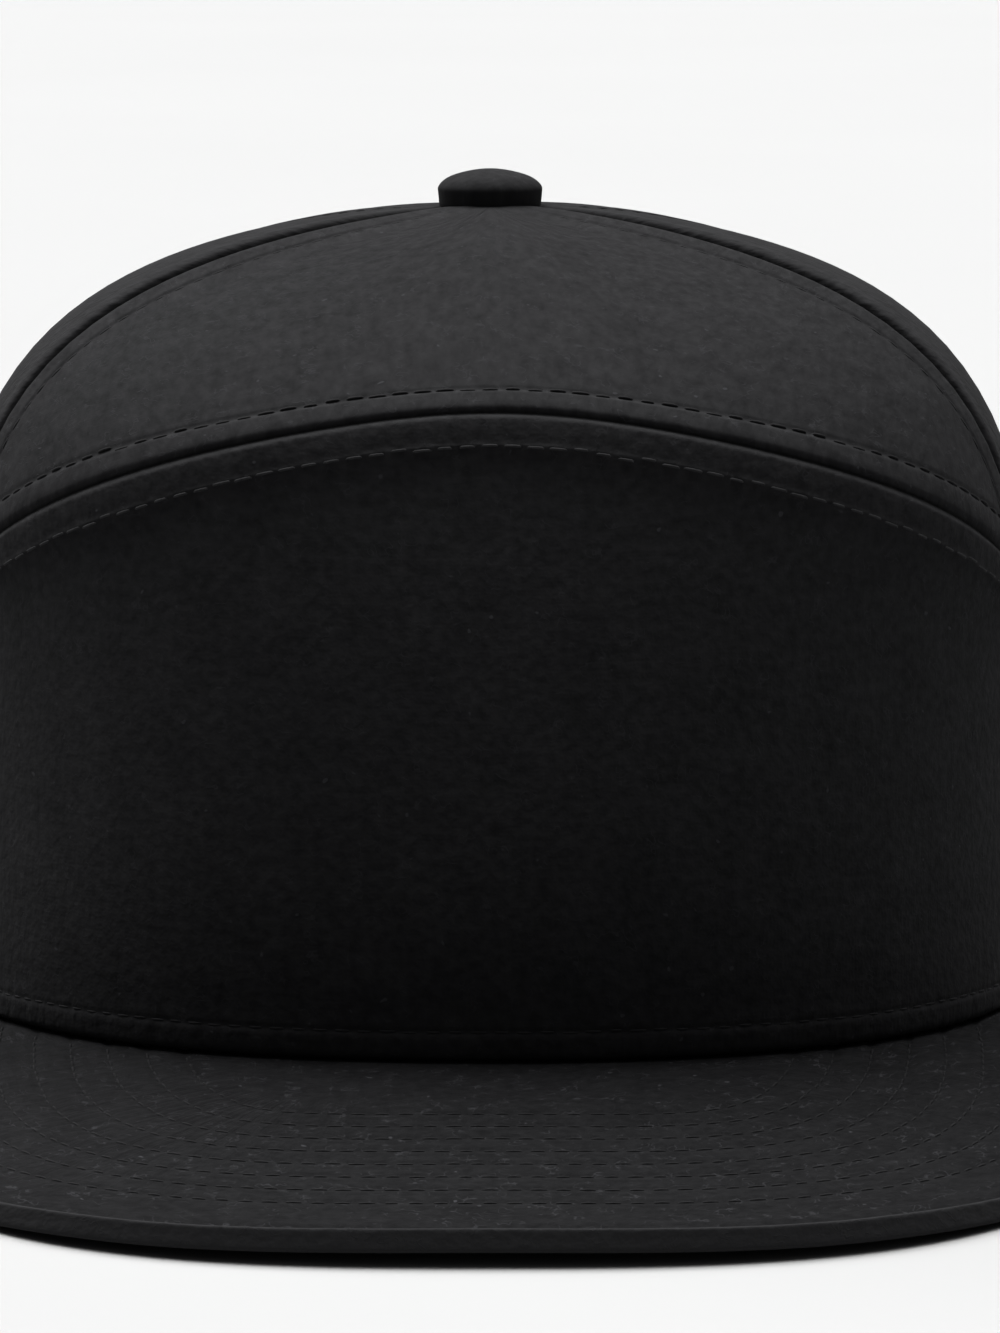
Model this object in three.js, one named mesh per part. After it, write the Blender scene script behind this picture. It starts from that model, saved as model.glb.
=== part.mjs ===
// Six-panel snapback cap with a flat brim, standing on its rear rim and the sides of its brim.
// Millimetres, +Z up. The brim points to -Y. Angles run from the front round to +X.
import * as THREE from 'three';

const { PI, abs, atan2, cos, hypot, max, min, sin, sqrt } = Math;
const deg = PI / 180;

// Crown: the rim's plan curve is measured from the upright line through the button
const crownHalfWidth = 83.5;
const crownFront = 93.8;
const crownBack = 101;
const planRoundness = 2.19;
const crownHeight = 123.3;
const rimRise = 11.1;          // the rim lifts this far at the front, where the brim joins it
const rimRiseEase = 0.87;
const flatRimFrom = 140 * deg; // from here to the back the rim lies on the table

// How full the wall stands: a higher number is squarer, along the radius and upwards
const fullness = {
  front: { radial: 2.45, upright: 2.46 },
  side: { radial: 1.98, upright: 6.16 },
  back: { radial: 2.2, upright: 2.6 },
};

// Seams
const sideSeamAtRim = 72 * deg;
const sideSeamAtButton = 66.3 * deg;
const backSeam = 124 * deg;
const archHeightCentre = 99.5;
const archHeightSide = 68.7;
const archCurve = 2.03;
const foldInFront = 5;         // the stiff front panel runs straight up to the arch seam
const foldOnTop = 4.1;         // and the top panel falls back flatter behind it
const seamGap = 0.34;

// Walls
const frontThickness = 2.2;
const clothThickness = 1.6;
const crownHoleRadius = 2;

// Button
const buttonRadius = 8;
const buttonHeight = 5.5;
const seatGap = 0.3;

// Brim
const brimReach = 70;
const brimHalfWidth = 93;
const brimWidestY = 45;        // in front of the button line
const brimOutline = 2.8;
const brimThickness = 3.2;
const brimEdgeHeight = 5.1;
const brimArch = 0.0005;       // sideways bend, per millimetre
const brimEarBend = 0.002;     // added towards the ears, which rest on the table
const brimEarFrom = 50;
const brimTip = 73.5 * deg;
const brimTuck = 2;            // how far it reaches under the wall
const brimTipStandOff = 0.8;
const brimEdgeRound = 0.9;
const brimFrontShare = 14 / 18; // the rest of the turn rounds the two rear corners
const brimEdgeBlend = 1;

// Sweatband and adjuster strap
const bandHeight = 32;
const bandThickness = 1.2;
const bandStandOffFront = 2.9;
const bandStandOffBack = 4.1;
const bandEnd = 157 * deg;
const bandLift = 1;
const bandEaseFrom = 118 * deg;
const bandEaseOver = 24 * deg;
const strapThickness = 1.6;
const strapStandOff = 2.1;
const strapWidth = 19;
const strapEnd = 148 * deg;
const strapLift = 1;

// Opening at the back
const openingHalfAngle = 21 * deg;
const openingHeight = 45;

const black = { cloth: 0x17181a, brim: 0x1b1c1e, band: 0x141516, plastic: 0x101112 };

const mix = (a, b, t) => a + (b - a) * t;
const clamp01 = (t) => min(1, max(0, t));
const smooth = (t) => clamp01(t) ** 2 * (3 - 2 * clamp01(t));

function planRadius(phi) {
  const reach = cos(phi) > 0 ? crownFront : crownBack;
  const across = (abs(sin(phi)) / crownHalfWidth) ** planRoundness;
  const along = (abs(cos(phi)) / reach) ** planRoundness;
  return (across + along) ** (-1 / planRoundness);
}

function rimHeight(phi) {
  const turn = min(abs(phi) / flatRimFrom, 1) * PI;
  return rimRise * ((1 + cos(turn)) / 2) ** rimRiseEase;
}

function fullnessAt(phi) {
  const front = max(cos(phi), 0) ** 2;
  const back = max(-cos(phi), 0) ** 2;
  const side = 1 - front - back;
  const blend = (key) =>
    fullness.front[key] * front + fullness.side[key] * side + fullness.back[key] * back;
  return { radial: blend('radial'), upright: blend('upright') };
}

// The wall's profile; share runs from 0 at the rim to 1 at the button
function profileAt(phi, share) {
  const solveSteps = 40;
  const { radial, upright } = fullnessAt(phi);
  const out = max(cos(share * PI / 2), 1e-9);
  const up = max(sin(share * PI / 2), 1e-9);
  let low = 0.9;
  let high = 1.5;
  for (let step = 0; step < solveSteps; step += 1) {
    const scale = (low + high) / 2;
    if ((scale * out) ** radial + (scale * up) ** upright > 1) {
      high = scale;
    } else {
      low = scale;
    }
  }
  return { out: low * out, up: low * up };
}

function shareAtHeight(phi, z) {
  const { radial, upright } = fullnessAt(phi);
  const up = clamp01((z - rimHeight(phi)) / (crownHeight - rimHeight(phi)));
  return atan2(up, (1 - up ** upright) ** (1 / radial)) / (PI / 2);
}

const sideSeam = (share) => mix(sideSeamAtRim, sideSeamAtButton, share);

function archHeight(phi) {
  const across = min(abs(phi) / sideSeamAtRim, 1);
  return mix(archHeightCentre, archHeightSide, across ** archCurve);
}

// 0 at both ends and 1 a third of the way along
const foldShape = (t) => 6.75 * clamp01(t) * (1 - clamp01(t)) ** 2;

function crownPoint(phi, share) {
  const { out, up } = profileAt(phi, share);
  const { radial, upright } = fullnessAt(phi);
  const plan = planRadius(phi);
  const rim = rimHeight(phi);
  const arch = archHeight(phi);
  const archUp = (arch - rim) / (crownHeight - rim);
  const archRadius = plan * (1 - archUp ** upright) ** (1 / radial);
  const fade = 1 - min(abs(phi) / sideSeamAtRim, 1) ** 3;
  let radius = plan * out;
  let z = mix(rim, crownHeight, up);
  if (z < arch) {
    radius -= foldInFront * fade * foldShape((arch - z) / (arch - rim));
  } else {
    z -= foldOnTop * fade * foldShape((archRadius - radius) / archRadius);
  }
  return new THREE.Vector3(radius * sin(phi), -radius * cos(phi), z);
}

function crownNormal(phi, share) {
  const shareStep = 0.012;
  const angleStep = 0.02;
  const along = crownPoint(phi, min(1, share + shareStep));
  along.sub(crownPoint(phi, max(0, share - shareStep)));
  const around = crownPoint(phi + angleStep, share);
  around.sub(crownPoint(phi - angleStep, share));
  const normal = around.cross(along);
  if (share <= 0) {
    normal.z = 0;
  }
  return normal.normalize();
}

function inside(phi, share, depth) {
  return crownPoint(phi, share).addScaledVector(crownNormal(phi, share), -depth);
}

// Half the seam gap, as an angle and as a share of the way up
function gapAngle(phi, share) {
  const point = crownPoint(phi, share);
  return seamGap / 2 / hypot(point.x, point.y);
}

function gapShare(phi, share) {
  const step = 0.005;
  const run = crownPoint(phi, share + step).distanceTo(crownPoint(phi, share - step));
  return seamGap / 2 / (run / (2 * step));
}

const holeShare = (phi) => 1 - crownHoleRadius / planRadius(phi) / (PI / 2);

// Closes a row of rings, each an upper and a lower chain of points, into one solid
function solidFromRings(rings) {
  const size = rings[0].length;
  const positions = rings.flat().flatMap((point) => point.toArray());
  const faces = [];
  const quad = (a, b, c, d) => faces.push([a, b, c], [a, c, d]);
  for (let ring = 0; ring + 1 < rings.length; ring += 1) {
    for (let k = 0; k < size; k += 1) {
      const next = (k + 1) % size;
      const here = ring * size;
      quad(here + k, here + next, here + size + next, here + size + k);
    }
  }
  const last = (rings.length - 1) * size;
  for (let k = 0; k + 1 < size / 2; k += 1) {
    quad(size - 1 - k, size - 2 - k, k + 1, k);
    quad(last + k, last + k + 1, last + size - 2 - k, last + size - 1 - k);
  }
  return closedGeometry(positions, faces);
}

// Turns the faces outwards, whichever way they were listed
function closedGeometry(positions, faces) {
  const corner = (index) => new THREE.Vector3().fromArray(positions, index * 3);
  let volume = 0;
  for (const [a, b, c] of faces) {
    volume += corner(a).dot(corner(b).cross(corner(c)));
  }
  const outward = volume > 0 ? faces : faces.map(([a, b, c]) => [a, c, b]);
  const geometry = new THREE.BufferGeometry();
  geometry.setAttribute('position', new THREE.Float32BufferAttribute(positions, 3));
  geometry.setIndex(outward.flat());
  geometry.computeVertexNormals();
  return geometry;
}

function cloth(color) {
  return new THREE.MeshStandardMaterial({ color, roughness: 0.92, metalness: 0 });
}

const cap = new THREE.Group();
cap.name = 'snapback_cap';
cap.position.y = (crownFront + brimReach - crownBack + strapStandOff) / 2;

function addPiece(name, geometry, material) {
  const mesh = new THREE.Mesh(geometry, material);
  mesh.name = name;
  cap.add(mesh);
}

// A panel: place gives the angle and share for a column and a row, both from 0 to 1
function addPanel(name, columns, rows, thickness, place) {
  const rings = [];
  for (let column = 0; column <= columns; column += 1) {
    const outer = [];
    const inner = [];
    for (let row = 0; row <= rows; row += 1) {
      const { phi, share } = place(column / columns, row / rows);
      outer.push(crownPoint(phi, share));
      inner.push(inside(phi, share, thickness));
    }
    rings.push([...outer, ...inner.reverse()]);
  }
  addPiece(name, solidFromRings(rings), cloth(black.cloth));
}

const archShare = (phi) => shareAtHeight(phi, archHeight(phi));

// Front and top panels run between the two side seams, below and above the arch seam
function placeBetweenSeams(across, from, to) {
  const turn = 2 * across - 1;
  let phi = turn * sideSeamAtRim;
  let share = 0;
  for (let pass = 0; pass < 5; pass += 1) {
    share = from(phi) + to(phi);
    phi = turn * (sideSeam(share) - gapAngle(phi, share));
  }
  return { phi, share };
}

addPanel('front_panel', 24, 9, frontThickness, (across, up) => placeBetweenSeams(
  across,
  () => 0,
  (phi) => up * (archShare(phi) - gapShare(phi, archShare(phi))),
));

addPanel('top_panel', 24, 8, clothThickness, (across, up) => placeBetweenSeams(
  across,
  (phi) => (1 - up) * (archShare(phi) + gapShare(phi, archShare(phi))),
  (phi) => up * holeShare(phi),
));

for (const { name, hand } of [{ name: 'right', hand: 1 }, { name: 'left', hand: -1 }]) {
  addPanel(`side_panel_${name}`, 8, 16, clothThickness, (across, up) => {
    const share = up * holeShare(sideSeamAtRim);
    const gap = gapAngle(backSeam, share);
    const phi = mix(sideSeam(share) + gap, backSeam - gap, across);
    return { phi: hand * phi, share };
  });

  // The back panel's lower edge follows the rim, then the opening's half-moon arc
  const rimColumns = 6;
  const arcColumns = 7;
  const columns = rimColumns + arcColumns;
  addPanel(`back_panel_${name}`, columns, 13, clothThickness, (across, up) => {
    const column = across * columns;
    const corner = PI - openingHalfAngle;
    const arc = clamp01((column - rimColumns) / arcColumns) * PI / 2;
    const onRim = mix(backSeam, corner, clamp01(column / rimColumns));
    const lowPhi = column <= rimColumns ? onRim : PI - openingHalfAngle * cos(arc);
    const lowShare = shareAtHeight(lowPhi, openingHeight * sin(arc));
    const share = mix(lowShare, holeShare(lowPhi), up);
    const plain = mix(lowPhi, mix(backSeam, PI, across), up);
    const gap = gapAngle(plain, share);
    return { phi: hand * mix(plain + gap, plain - gap, across), share };
  });
}

// The covered button, turned round the upright line
function addButton() {
  const sides = 20;
  const outline = [
    { radius: 7, height: 0 },
    { radius: buttonRadius, height: 0.8 },
    { radius: buttonRadius, height: 2.4 },
    { radius: 7.4, height: 4 },
    { radius: 5.4, height: 5 },
    { radius: 2.6, height: buttonHeight },
  ];
  const base = crownHeight + seatGap;
  const positions = [0, 0, base, 0, 0, base + buttonHeight];
  for (const { radius, height } of outline) {
    for (let side = 0; side < sides; side += 1) {
      const turn = side / sides * 2 * PI;
      positions.push(radius * cos(turn), radius * sin(turn), base + height);
    }
  }
  const faces = [];
  for (let side = 0; side < sides; side += 1) {
    const next = (side + 1) % sides;
    const at = (ring, k) => 2 + ring * sides + k;
    faces.push([0, at(0, next), at(0, side)]);
    for (let ring = 0; ring + 1 < outline.length; ring += 1) {
      faces.push([at(ring, side), at(ring, next), at(ring + 1, next)]);
      faces.push([at(ring, side), at(ring + 1, next), at(ring + 1, side)]);
    }
    faces.push([1, at(outline.length - 1, side), at(outline.length - 1, next)]);
  }
  addPiece('button', closedGeometry(positions, faces), cloth(black.cloth));
}
addButton();

// Brim: straight rulings from the joint under the wall out to the curved edge
const brimFront = crownFront + brimReach;

function brimEdgeAt(turn) {
  const hand = Math.sign(turn);
  if (abs(turn) <= brimFrontShare) {
    const angle = abs(turn) / brimFrontShare * PI / 2;
    const x = brimHalfWidth * sin(angle) ** (2 / brimOutline);
    const y = brimWidestY + (brimFront - brimWidestY) * max(cos(angle), 0) ** (2 / brimOutline);
    return { x: hand * x, y: -y };
  }
  const angle = (abs(turn) - brimFrontShare) / (1 - brimFrontShare) * PI / 2;
  const reach = planRadius(brimTip) + brimTipStandOff;
  const tip = { x: reach * sin(brimTip), y: reach * cos(brimTip) };
  const x = tip.x + (brimHalfWidth - tip.x) * cos(angle);
  const y = brimWidestY - (brimWidestY - tip.y) * sin(angle);
  return { x: hand * x, y: -y };
}

function brimEdgeHeightAt({ x, y }) {
  const flat = brimEdgeHeight + (rimRise - brimEdgeHeight) * (brimFront + y) / brimReach;
  const ear = brimEarBend * max(abs(x) - brimEarFrom, 0) ** 2;
  const bent = flat - brimArch * x * x - ear;
  const joint = rimHeight(atan2(abs(x), -y)) - seatGap;
  return (bent + joint - sqrt((bent - joint) ** 2 + brimEdgeBlend)) / 2;
}

function brimTop(turn, way, inset) {
  const phi = turn * brimTip;
  const joint = planRadius(phi) - brimTuck;
  const start = new THREE.Vector3(joint * sin(phi), -joint * cos(phi), rimHeight(phi) - seatGap);
  const edge = brimEdgeAt(turn);
  const end = new THREE.Vector3(edge.x, edge.y, brimEdgeHeightAt(edge));
  const length = start.distanceTo(end);
  return start.lerp(end, way * (1 - inset / length));
}

function addBrim() {
  const columns = 36;
  const ways = [0, 0.14, 0.32, 0.5, 0.68, 0.86, 1];
  const rings = [];
  for (let column = 0; column <= columns; column += 1) {
    const turn = 2 * column / columns - 1;
    const down = (point, depth) => point.clone().setZ(point.z - depth);
    const top = ways.map((way) => brimTop(turn, way, brimEdgeRound));
    const rim = brimTop(turn, 1, 0);
    const edge = [down(rim, brimEdgeRound), down(rim, brimThickness - brimEdgeRound)];
    const bottom = top.map((point) => down(point, brimThickness)).reverse();
    rings.push([...top, ...edge, ...bottom]);
  }
  addPiece('brim', solidFromRings(rings), cloth(black.brim));
}
addBrim();

// A band inside the wall, from one end angle round to the other
function bandRings(columns, fromPhi, toPhi, heights, standOff, thickness) {
  const rings = [];
  for (let column = 0; column <= columns; column += 1) {
    const phi = mix(fromPhi, toPhi, column / columns);
    const chain = (depth) => heights.map((height) => {
      const z = rimHeight(phi) + height;
      return inside(phi, shareAtHeight(phi, z), depth).setZ(z);
    });
    const near = standOff(phi);
    rings.push([...chain(near), ...chain(near + thickness).reverse()]);
  }
  return rings;
}

const bandHeights = [0, 1 / 3, 2 / 3, 1].map((way) => bandLift + way * bandHeight);
const bandStandOff = (phi) =>
  mix(bandStandOffFront, bandStandOffBack, smooth((abs(phi) - bandEaseFrom) / bandEaseOver));
const bandGeometry = solidFromRings(
  bandRings(44, -bandEnd, bandEnd, bandHeights, bandStandOff, bandThickness),
);
addPiece('sweatband', bandGeometry, cloth(black.band));

const strapGeometry = solidFromRings(bandRings(
  18,
  strapEnd,
  2 * PI - strapEnd,
  [strapLift, strapLift + strapWidth],
  () => strapStandOff,
  strapThickness,
));
const plastic = new THREE.MeshStandardMaterial({
  color: black.plastic,
  roughness: 0.55,
  metalness: 0,
});
addPiece('snap_strap', strapGeometry, plastic);

export default cap;
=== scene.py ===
import math
import bpy
import numpy as np
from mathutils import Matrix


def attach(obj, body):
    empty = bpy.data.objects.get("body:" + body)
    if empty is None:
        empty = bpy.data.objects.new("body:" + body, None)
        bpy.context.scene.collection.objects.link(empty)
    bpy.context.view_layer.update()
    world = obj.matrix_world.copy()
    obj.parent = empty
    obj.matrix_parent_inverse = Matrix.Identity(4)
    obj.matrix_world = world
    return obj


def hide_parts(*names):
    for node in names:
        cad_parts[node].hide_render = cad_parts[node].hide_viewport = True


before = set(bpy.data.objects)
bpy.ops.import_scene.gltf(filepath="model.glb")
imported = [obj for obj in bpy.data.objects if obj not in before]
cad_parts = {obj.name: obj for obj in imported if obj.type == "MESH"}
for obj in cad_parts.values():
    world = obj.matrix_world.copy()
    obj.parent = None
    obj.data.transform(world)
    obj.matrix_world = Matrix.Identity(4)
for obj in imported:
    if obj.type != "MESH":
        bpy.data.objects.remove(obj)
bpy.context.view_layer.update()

# Studio: a pale seamless floor under a bank of softboxes, which hang over the cap and
# behind it, most of them to its left, with a dim room around. The camera looks at the
# front of the cap from a little above the crown.

MM = 0.001
SHIFT_Y = 32.45              # from the line through the button to the model's origin
CAMERA_BACK = 884.2
CAMERA_UP = 193.8
CAMERA_PITCH = 0.1591
FOCAL_PIXELS = 5785
IMAGE_WIDTH = 1000
IMAGE_HEIGHT = 1333
SENSOR = 36.0
CAP_CENTRE_PIXEL = 490
SOFTBOX_SPREAD = 34          # degrees that each softbox fills, seen from the cap
# azimuth from the camera's side towards +X, elevation, and strength of each softbox
SOFTBOXES = {
    "overhead": (0, 90, 1.3),
    "behind": (180, 65, 3.5),
    "behind_left_high": (225, 65, 1.8),
    "behind_left_low": (225, 42, 2.2),
    "behind_right": (135, 58, 1.4),
    "left": (252, 48, 0.6),
    "right": (108, 48, 0.45),
}
FLOOR_LIGHT = "#959595"
FLOOR_DARK = "#939393"
FLOOR_REACH = 30.0           # metres, so that its edge stays out of every view


def linear(code):
    """An sRGB hex colour as linear red, green, blue and alpha."""
    parts = np.array([int(code[i:i + 2], 16) for i in (1, 3, 5)]) / 255
    low = parts / 12.92
    high = ((parts + 0.055) / 1.055) ** 2.4
    return (*np.where(parts <= 0.04045, low, high).tolist(), 1.0)


def add_node(tree, kind, settings=None, inputs=None):
    """A node with its settings. An input is a value, or what to link: a socket, or a node,
    which stands for its first output in use."""
    node = tree.nodes.new(kind)
    for key, value in (settings or {}).items():
        setattr(node, key, value)
    for key, value in (inputs or {}).items():
        if isinstance(value, bpy.types.Node):
            value = next(socket for socket in value.outputs if socket.enabled)
        if isinstance(value, bpy.types.NodeSocket):
            tree.links.new(value, node.inputs[key])
        else:
            node.inputs[key].default_value = value
    return node


def blank_material(name):
    material = bpy.data.materials.new(name)
    material.use_nodes = True
    material.node_tree.nodes.clear()
    return material, material.node_tree


scene = bpy.context.scene
scene.view_settings.view_transform = "Standard"

camera_data = bpy.data.cameras.new("front_camera")
camera_data.sensor_width = SENSOR
camera_data.lens = FOCAL_PIXELS / IMAGE_HEIGHT * SENSOR
camera_data.shift_x = (IMAGE_WIDTH / 2 - CAP_CENTRE_PIXEL) / IMAGE_HEIGHT
camera_data.clip_end = 50
camera = bpy.data.objects.new("front_camera", camera_data)
camera.location = (0, (SHIFT_Y - CAMERA_BACK) * MM, CAMERA_UP * MM)
camera.rotation_euler = (math.pi / 2 - CAMERA_PITCH, 0, 0)
scene.collection.objects.link(camera)
scene.camera = camera

for name, (azimuth, elevation, strength) in SOFTBOXES.items():
    softbox_data = bpy.data.lights.new(f"softbox_{name}", "SUN")
    softbox_data.energy = strength
    softbox_data.angle = math.radians(SOFTBOX_SPREAD)
    softbox = bpy.data.objects.new(f"softbox_{name}", softbox_data)
    softbox.rotation_euler = (math.radians(90 - elevation), 0, math.radians(azimuth))
    scene.collection.objects.link(softbox)

# The room: dim, a little brighter overhead, with a pale strip along the horizon
world = bpy.data.worlds.new("studio_room")
world.use_nodes = True
scene.world = world
tree = world.node_tree
tree.nodes.clear()
direction = add_node(tree, "ShaderNodeTexCoord").outputs["Generated"]
height = add_node(tree, "ShaderNodeSeparateXYZ", inputs={"Vector": direction})
ceiling = add_node(tree, "ShaderNodeMapRange", {"interpolation_type": "SMOOTHSTEP"}, {
    "Value": height.outputs["Z"], "From Min": 0.45, "From Max": 0.95,
    "To Min": 0.06, "To Max": 0.15})
horizon = add_node(tree, "ShaderNodeMapRange", {"interpolation_type": "SMOOTHSTEP"}, {
    "Value": height.outputs["Z"], "From Min": 0.12, "From Max": 0.02,
    "To Min": 0.0, "To Max": 0.4})
room = add_node(tree, "ShaderNodeMath", {"operation": "ADD"}, {0: ceiling, 1: horizon})
background = add_node(tree, "ShaderNodeBackground", inputs={
    "Color": linear("#ffffff"), "Strength": room})
add_node(tree, "ShaderNodeOutputWorld", inputs={"Surface": background})

floor_mesh = bpy.data.meshes.new("floor")
floor_mesh.from_pydata(
    [(x * FLOOR_REACH, y * FLOOR_REACH, 0) for x, y in ((-1, -1), (1, -1), (1, 1), (-1, 1))],
    [], [(0, 1, 2, 3)])
floor = bpy.data.objects.new("floor", floor_mesh)
scene.collection.objects.link(floor)
# Matt painted board: even and pale, with no gloss and a hardly visible mottle 0.3 m wide
board, tree = blank_material("matt_painted_board")
place = add_node(tree, "ShaderNodeTexCoord").outputs["Object"]
mottle = add_node(tree, "ShaderNodeTexNoise", inputs={
    "Vector": place, "Scale": 3.0, "Detail": 3.0})
floor_colour = add_node(tree, "ShaderNodeMix", {"data_type": "RGBA"}, {
    "Factor": mottle, "A": linear(FLOOR_DARK), "B": linear(FLOOR_LIGHT)})
painted = add_node(tree, "ShaderNodeBsdfDiffuse", inputs={"Color": floor_colour})
add_node(tree, "ShaderNodeOutputMaterial", inputs={"Surface": painted})
floor_mesh.materials.append(board)

# Front panel: one wide arched panel of black brushed cotton over a stiff backing. It
# leans back a little and ends at the arch seam; its edges roll into every seam. All
# lengths are in mm, from the line through the button and the table.

CROWN_HALF_WIDTH = 83.5
CROWN_FRONT = 93.8
CROWN_BACK = 101.0
PLAN_ROUNDNESS = 2.19
CROWN_HEIGHT = 123.3
RIM_RISE = 11.1
RIM_RISE_EASE = 0.87
FLAT_RIM_FROM = math.radians(140)
FULLNESS = {                 # radial and upright, as in the solids
    "front": (2.45, 2.46),
    "side": (1.98, 6.16),
    "back": (2.2, 2.6),
}
SIDE_SEAM_AT_RIM = math.radians(72)
SIDE_SEAM_AT_BUTTON = math.radians(66.3)
BACK_SEAM = math.radians(124)
ARCH_CENTRE = 99.5
ARCH_SIDE = 68.7
ARCH_CURVE = 2.03
ARCH_END_SHARE = 0.45        # how far up the side seam the arch seam ends
FOLD_IN_FRONT = 5.0          # how far the panels fall in below and above the arch seam
FOLD_ON_TOP = 4.1
FOLD_FADE = 3                # power with which that fades towards the side seams
OPENING_HALF_ANGLE = math.radians(21)
OPENING_HEIGHT = 45.0
CROWN_HOLE = 2.0
FRONT_THICKNESS = 2.0
CLOTH_THICKNESS = 1.45


def mix(a, b, t):
    return a + (b - a) * t


def plan_radius(phi):
    """Rim radius at an angle from the front: a superellipse, longer behind than in front."""
    reach = np.where(np.cos(phi) > 0, CROWN_FRONT, CROWN_BACK)
    across = (np.abs(np.sin(phi)) / CROWN_HALF_WIDTH) ** PLAN_ROUNDNESS
    along = (np.abs(np.cos(phi)) / reach) ** PLAN_ROUNDNESS
    return (across + along) ** (-1 / PLAN_ROUNDNESS)


def rim_height(phi):
    """Height of the rim: lifted in front by a cosine hump, level from the sides back."""
    turn = np.minimum(np.abs(phi) / FLAT_RIM_FROM, 1) * math.pi
    return RIM_RISE * ((1 + np.cos(turn)) / 2) ** RIM_RISE_EASE


def fullness(phi):
    """The two exponents of the wall's profile, blended by squared cosines round the cap."""
    front = np.maximum(np.cos(phi), 0) ** 2
    back = np.maximum(-np.cos(phi), 0) ** 2
    side = 1 - front - back
    return [FULLNESS["front"][k] * front + FULLNESS["side"][k] * side
            + FULLNESS["back"][k] * back for k in (0, 1)]


def profile(phi, share):
    """Out and up, 0 to 1: out**radial + up**upright = 1, met along the ray at angle share.

    The length of the ray is halved in on between 0.9 and 1.5.
    """
    radial, upright = fullness(phi)
    out = np.maximum(np.cos(share * math.pi / 2), 1e-9)
    up = np.maximum(np.sin(share * math.pi / 2), 1e-9)
    low = np.full(np.broadcast(phi, share).shape, 0.9)
    high = np.full_like(low, 1.5)
    for _ in range(36):
        middle = (low + high) / 2
        beyond = (middle * out) ** radial + (middle * up) ** upright > 1
        low = np.where(beyond, low, middle)
        high = np.where(beyond, middle, high)
    return low * out, low * up


def share_at_height(phi, z):
    """How far up the wall a height is, from 0 at the rim to 1 at the button."""
    radial, upright = fullness(phi)
    up = np.clip((z - rim_height(phi)) / (CROWN_HEIGHT - rim_height(phi)), 0, 1)
    return np.arctan2(up, (1 - up ** upright) ** (1 / radial)) / (math.pi / 2)


def arch_height(phi):
    """Height of the arch seam: highest in front, falling by a power of the angle."""
    across = np.minimum(np.abs(phi) / SIDE_SEAM_AT_RIM, 1)
    return mix(ARCH_CENTRE, ARCH_SIDE, across ** ARCH_CURVE)


def fold_shape(t):
    """t (1 - t)**2, scaled to be 0 at both ends and 1 a third of the way along."""
    t = np.clip(t, 0, 1)
    return 6.75 * t * (1 - t) ** 2


def crown_point(phi, share):
    """A point of the smooth crown: the rim's radius times out, at a height between the rim
    and the crown's top by up, less the two folds beside the arch seam."""
    phi, share = np.broadcast_arrays(phi, share)
    out, up = profile(phi, share)
    radial, upright = fullness(phi)
    plan = plan_radius(phi)
    rim = rim_height(phi)
    arch = arch_height(phi)
    arch_up = (arch - rim) / (CROWN_HEIGHT - rim)
    arch_radius = plan * (1 - arch_up ** upright) ** (1 / radial)
    fade = 1 - np.minimum(np.abs(phi) / SIDE_SEAM_AT_RIM, 1) ** FOLD_FADE
    radius = plan * out
    z = mix(rim, CROWN_HEIGHT, up)
    below = z < arch
    inward = FOLD_IN_FRONT * fade * fold_shape((arch - z) / (arch - rim))
    down = FOLD_ON_TOP * fade * fold_shape((arch_radius - radius) / arch_radius)
    radius = np.where(below, radius - inward, radius)
    z = np.where(below, z, z - down)
    return np.stack([radius * np.sin(phi), -radius * np.cos(phi), z], -1)


def unit(vectors):
    return vectors / np.maximum(np.linalg.norm(vectors, axis=-1, keepdims=True), 1e-12)


def crown_normal(phi, share):
    """Outward normal of the smooth crown, from central differences."""
    step = 0.01
    along = crown_point(phi, np.minimum(share + step, 1)) - crown_point(
        phi, np.maximum(share - step, 0))
    around = crown_point(phi + step, share) - crown_point(phi - step, share)
    return unit(np.cross(around, along))


def side_seam(share):
    return mix(SIDE_SEAM_AT_RIM, SIDE_SEAM_AT_BUTTON, share)


def arch_share(phi):
    return share_at_height(phi, arch_height(phi))


def hole_share(phi):
    return 1 - CROWN_HOLE / plan_radius(phi) / (math.pi / 2)


def opening_arc(turn, grow=0.0):
    """Angle and share along the half-moon over the opening, from its corner to the top."""
    phi = math.pi - (OPENING_HALF_ANGLE + grow / CROWN_BACK) * np.cos(turn)
    return phi, share_at_height(phi, (OPENING_HEIGHT + grow) * np.sin(turn))


SEAM_SAMPLES = 260
way = np.linspace(0, 1, SEAM_SAMPLES)
corner_angle = math.pi - OPENING_HALF_ANGLE
top_of_opening = float(share_at_height(np.array(math.pi), OPENING_HEIGHT))
across_front = mix(-1, 1, way) * side_seam(ARCH_END_SHARE)
rim_angles = mix(-corner_angle, corner_angle, np.linspace(0, 1, 2 * SEAM_SAMPLES))
half_arc = opening_arc(way * math.pi / 2)
arch_line = crown_point(across_front, arch_share(across_front))
side_lines = {hand: crown_point(hand * side_seam(way), way) for hand in (1, -1)}
back_lines = {hand: crown_point(hand * np.full_like(way, BACK_SEAM), way) for hand in (1, -1)}
centre_back_line = crown_point(np.full_like(way, math.pi), mix(top_of_opening, 1, way))
hem_lines = [
    crown_point(rim_angles, np.zeros_like(rim_angles)),
    crown_point(*half_arc),
    crown_point(-half_arc[0], half_arc[1]),
]


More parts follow.
